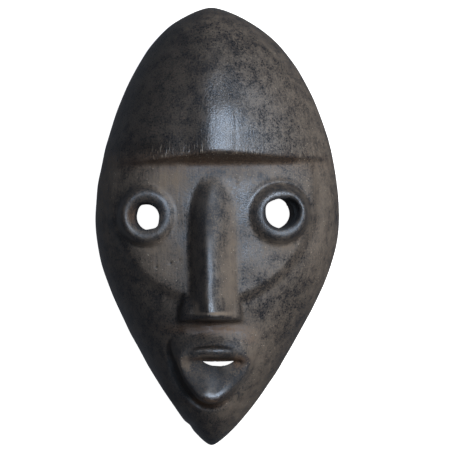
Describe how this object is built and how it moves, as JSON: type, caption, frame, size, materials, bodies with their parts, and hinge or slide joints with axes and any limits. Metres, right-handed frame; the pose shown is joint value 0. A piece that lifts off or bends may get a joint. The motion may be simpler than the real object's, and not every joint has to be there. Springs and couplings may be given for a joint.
{
  "type": "face mask",
  "caption": "Carved wooden face mask, long and pointed at the chin, with a domed forehead, round tube eyes, a straight narrow nose, parted lips and a hollowed back.",
  "frame": {"origin": "in the plane of the flat back rim, under the middle of the outline", "axes": "+Z out of the face, away from the wearer; +Y from the chin to the crown; +X towards the viewer's right when facing the mask"},
  "size_m": [0.1392, 0.25, 0.0683],
  "materials": {
    "patinated_wood": "dark satin patina, worn smooth on the forehead and cheeks, dull and brown in the hollows"
  },
  "bodies": {
    "root": {"mask": "patinated_wood"}
  },
  "joints": []
}
